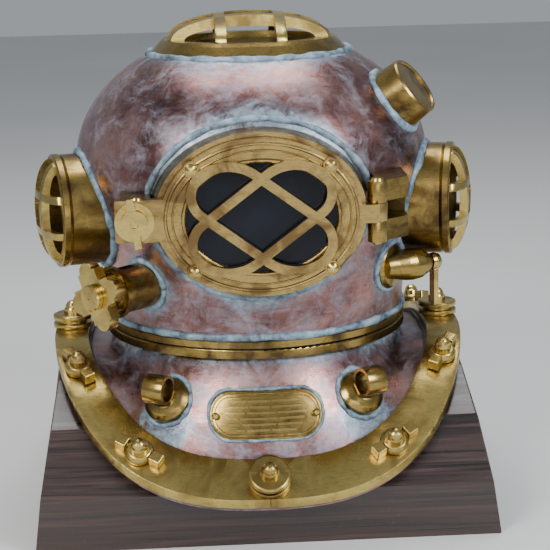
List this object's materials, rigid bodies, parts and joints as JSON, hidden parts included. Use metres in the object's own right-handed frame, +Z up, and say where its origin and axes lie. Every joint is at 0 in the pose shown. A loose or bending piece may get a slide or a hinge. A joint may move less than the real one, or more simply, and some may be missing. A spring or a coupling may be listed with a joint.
{
  "type": "diving helmet ornament",
  "caption": "Replica deep-sea diving helmet on a stave-built wooden stand, with a hinged window, guarded side and top windows, valves and a bolted collar.",
  "frame": {"origin": "under the stand, on the axis of the helmet's neck", "axes": "+Z up, front window towards -Y, hinge of the window towards +X"},
  "size_m": [0.424, 0.4504, 0.466],
  "materials": {
    "dark_wood": "dark lacquered hardwood, glossy, worn",
    "patinated_copper": "aged copper sheet with milky blue-white patina",
    "aged_brass": "antiqued brass with dark patches",
    "satin_brass": "satin brass, edges polished",
    "dark_glass": "black glossy glass",
    "rubber_seal": "dark gasket",
    "spring_wire": "plain spring wire"
  },
  "bodies": {
    "stand": {"stand_staves_front": "dark_wood", "stand_stave_crown": "dark_wood", "stand_staves_rear": "dark_wood", "stand_ends": "dark_wood", "stand_base_board": "dark_wood"},
    "breastplate": {"breastplate_shell": "patinated_copper", "breastplate_neck_ring": "aged_brass", "neck_gasket": "rubber_seal", "brail_gasket": "rubber_seal", "brail_front_left": "satin_brass", "brail_front_right": "satin_brass", "brail_back_left": "satin_brass", "brail_back_right": "satin_brass", "brail_studs": "satin_brass", "flanged_nuts": "satin_brass", "wing_nuts": "satin_brass", "stud_caps": "satin_brass", "padeye_left": "aged_brass", "padeye_right": "aged_brass", "nameplate": "aged_brass", "nameplate_rivets": "satin_brass"},
    "bonnet": {"bonnet_shell": "patinated_copper", "bonnet_neck_ring": "aged_brass", "door_seat": "aged_brass", "hinge_bracket": "aged_brass", "hinge_pin": "satin_brass", "latch_boss": "aged_brass", "left_port_frame": "aged_brass", "right_port_frame": "aged_brass", "top_port_frame": "aged_brass", "port_glasses": "dark_glass", "port_retainers": "aged_brass", "left_port_guard": "satin_brass", "right_port_guard": "satin_brass", "top_port_guard": "satin_brass", "exhaust_body": "aged_brass", "exhaust_cap": "aged_brass", "exhaust_spring": "spring_wire", "spitcock_body": "aged_brass", "receiver_cup": "aged_brass", "air_gooseneck": "aged_brass", "phone_gooseneck": "aged_brass", "phone_cap": "aged_brass", "lock_bracket": "aged_brass", "lock_pin": "aged_brass"},
    "door": {"door_ring": "satin_brass", "door_gasket": "rubber_seal", "door_glass": "dark_glass", "door_guard": "satin_brass", "door_rivets": "satin_brass", "latch_pin": "satin_brass"},
    "latch_screw": {"latch_bolt": "satin_brass", "latch_nut": "satin_brass"},
    "exhaust_wheel": {"exhaust_star": "satin_brass"},
    "exhaust_valve": {"exhaust_spindle": "satin_brass", "exhaust_button": "satin_brass"},
    "spitcock_handle": {"spitcock_plug": "satin_brass", "spitcock_lever": "satin_brass"},
    "lock": {"lock_lever": "aged_brass"}
  },
  "joints": [
    {"name": "helmet_lift", "type": "slide", "parent": "stand", "child": "breastplate", "axis": [0, 0, 1], "range_m": [0, 0.3]},
    {"name": "bonnet_turn", "type": "hinge", "parent": "breastplate", "child": "bonnet", "pos_m": [0, 0, 0.162], "axis": [0, 0, -1], "range_deg": [0, 45]},
    {"name": "door_swing", "type": "hinge", "parent": "bonnet", "child": "door", "pos_m": [0.102, -0.177, 0.301], "axis": [0, 0, 1], "range_deg": [0, 105]},
    {"name": "latch_turn", "type": "hinge", "parent": "door", "child": "latch_screw", "pos_m": [-0.11, -0.195, 0.301], "axis": [0, -1, 0], "range_deg": [0, 540]},
    {"name": "wheel_turn", "type": "hinge", "parent": "bonnet", "child": "exhaust_wheel", "pos_m": [-0.14142, -0.14142, 0.226], "axis": [-0.7071, -0.7071, 0], "range_deg": [0, 720]},
    {"name": "valve_lift", "type": "slide", "parent": "bonnet", "child": "exhaust_valve", "axis": [-0.7071, -0.7071, 0], "range_m": [0, 0.005], "stiffness_N_per_m": 250, "springref_m": -0.006, "deforming": ["exhaust_spring"]},
    {"name": "spitcock_turn", "type": "hinge", "parent": "bonnet", "child": "spitcock_handle", "pos_m": [0.124, -0.091, 0.231], "axis": [-0.9272, -0.3746, 0], "range_deg": [0, 90]},
    {"name": "lock_lift", "type": "hinge", "parent": "bonnet", "child": "lock", "pos_m": [0, 0.1535, 0.1765], "axis": [1, 0, 0], "range_deg": [0, 100]}
  ]
}
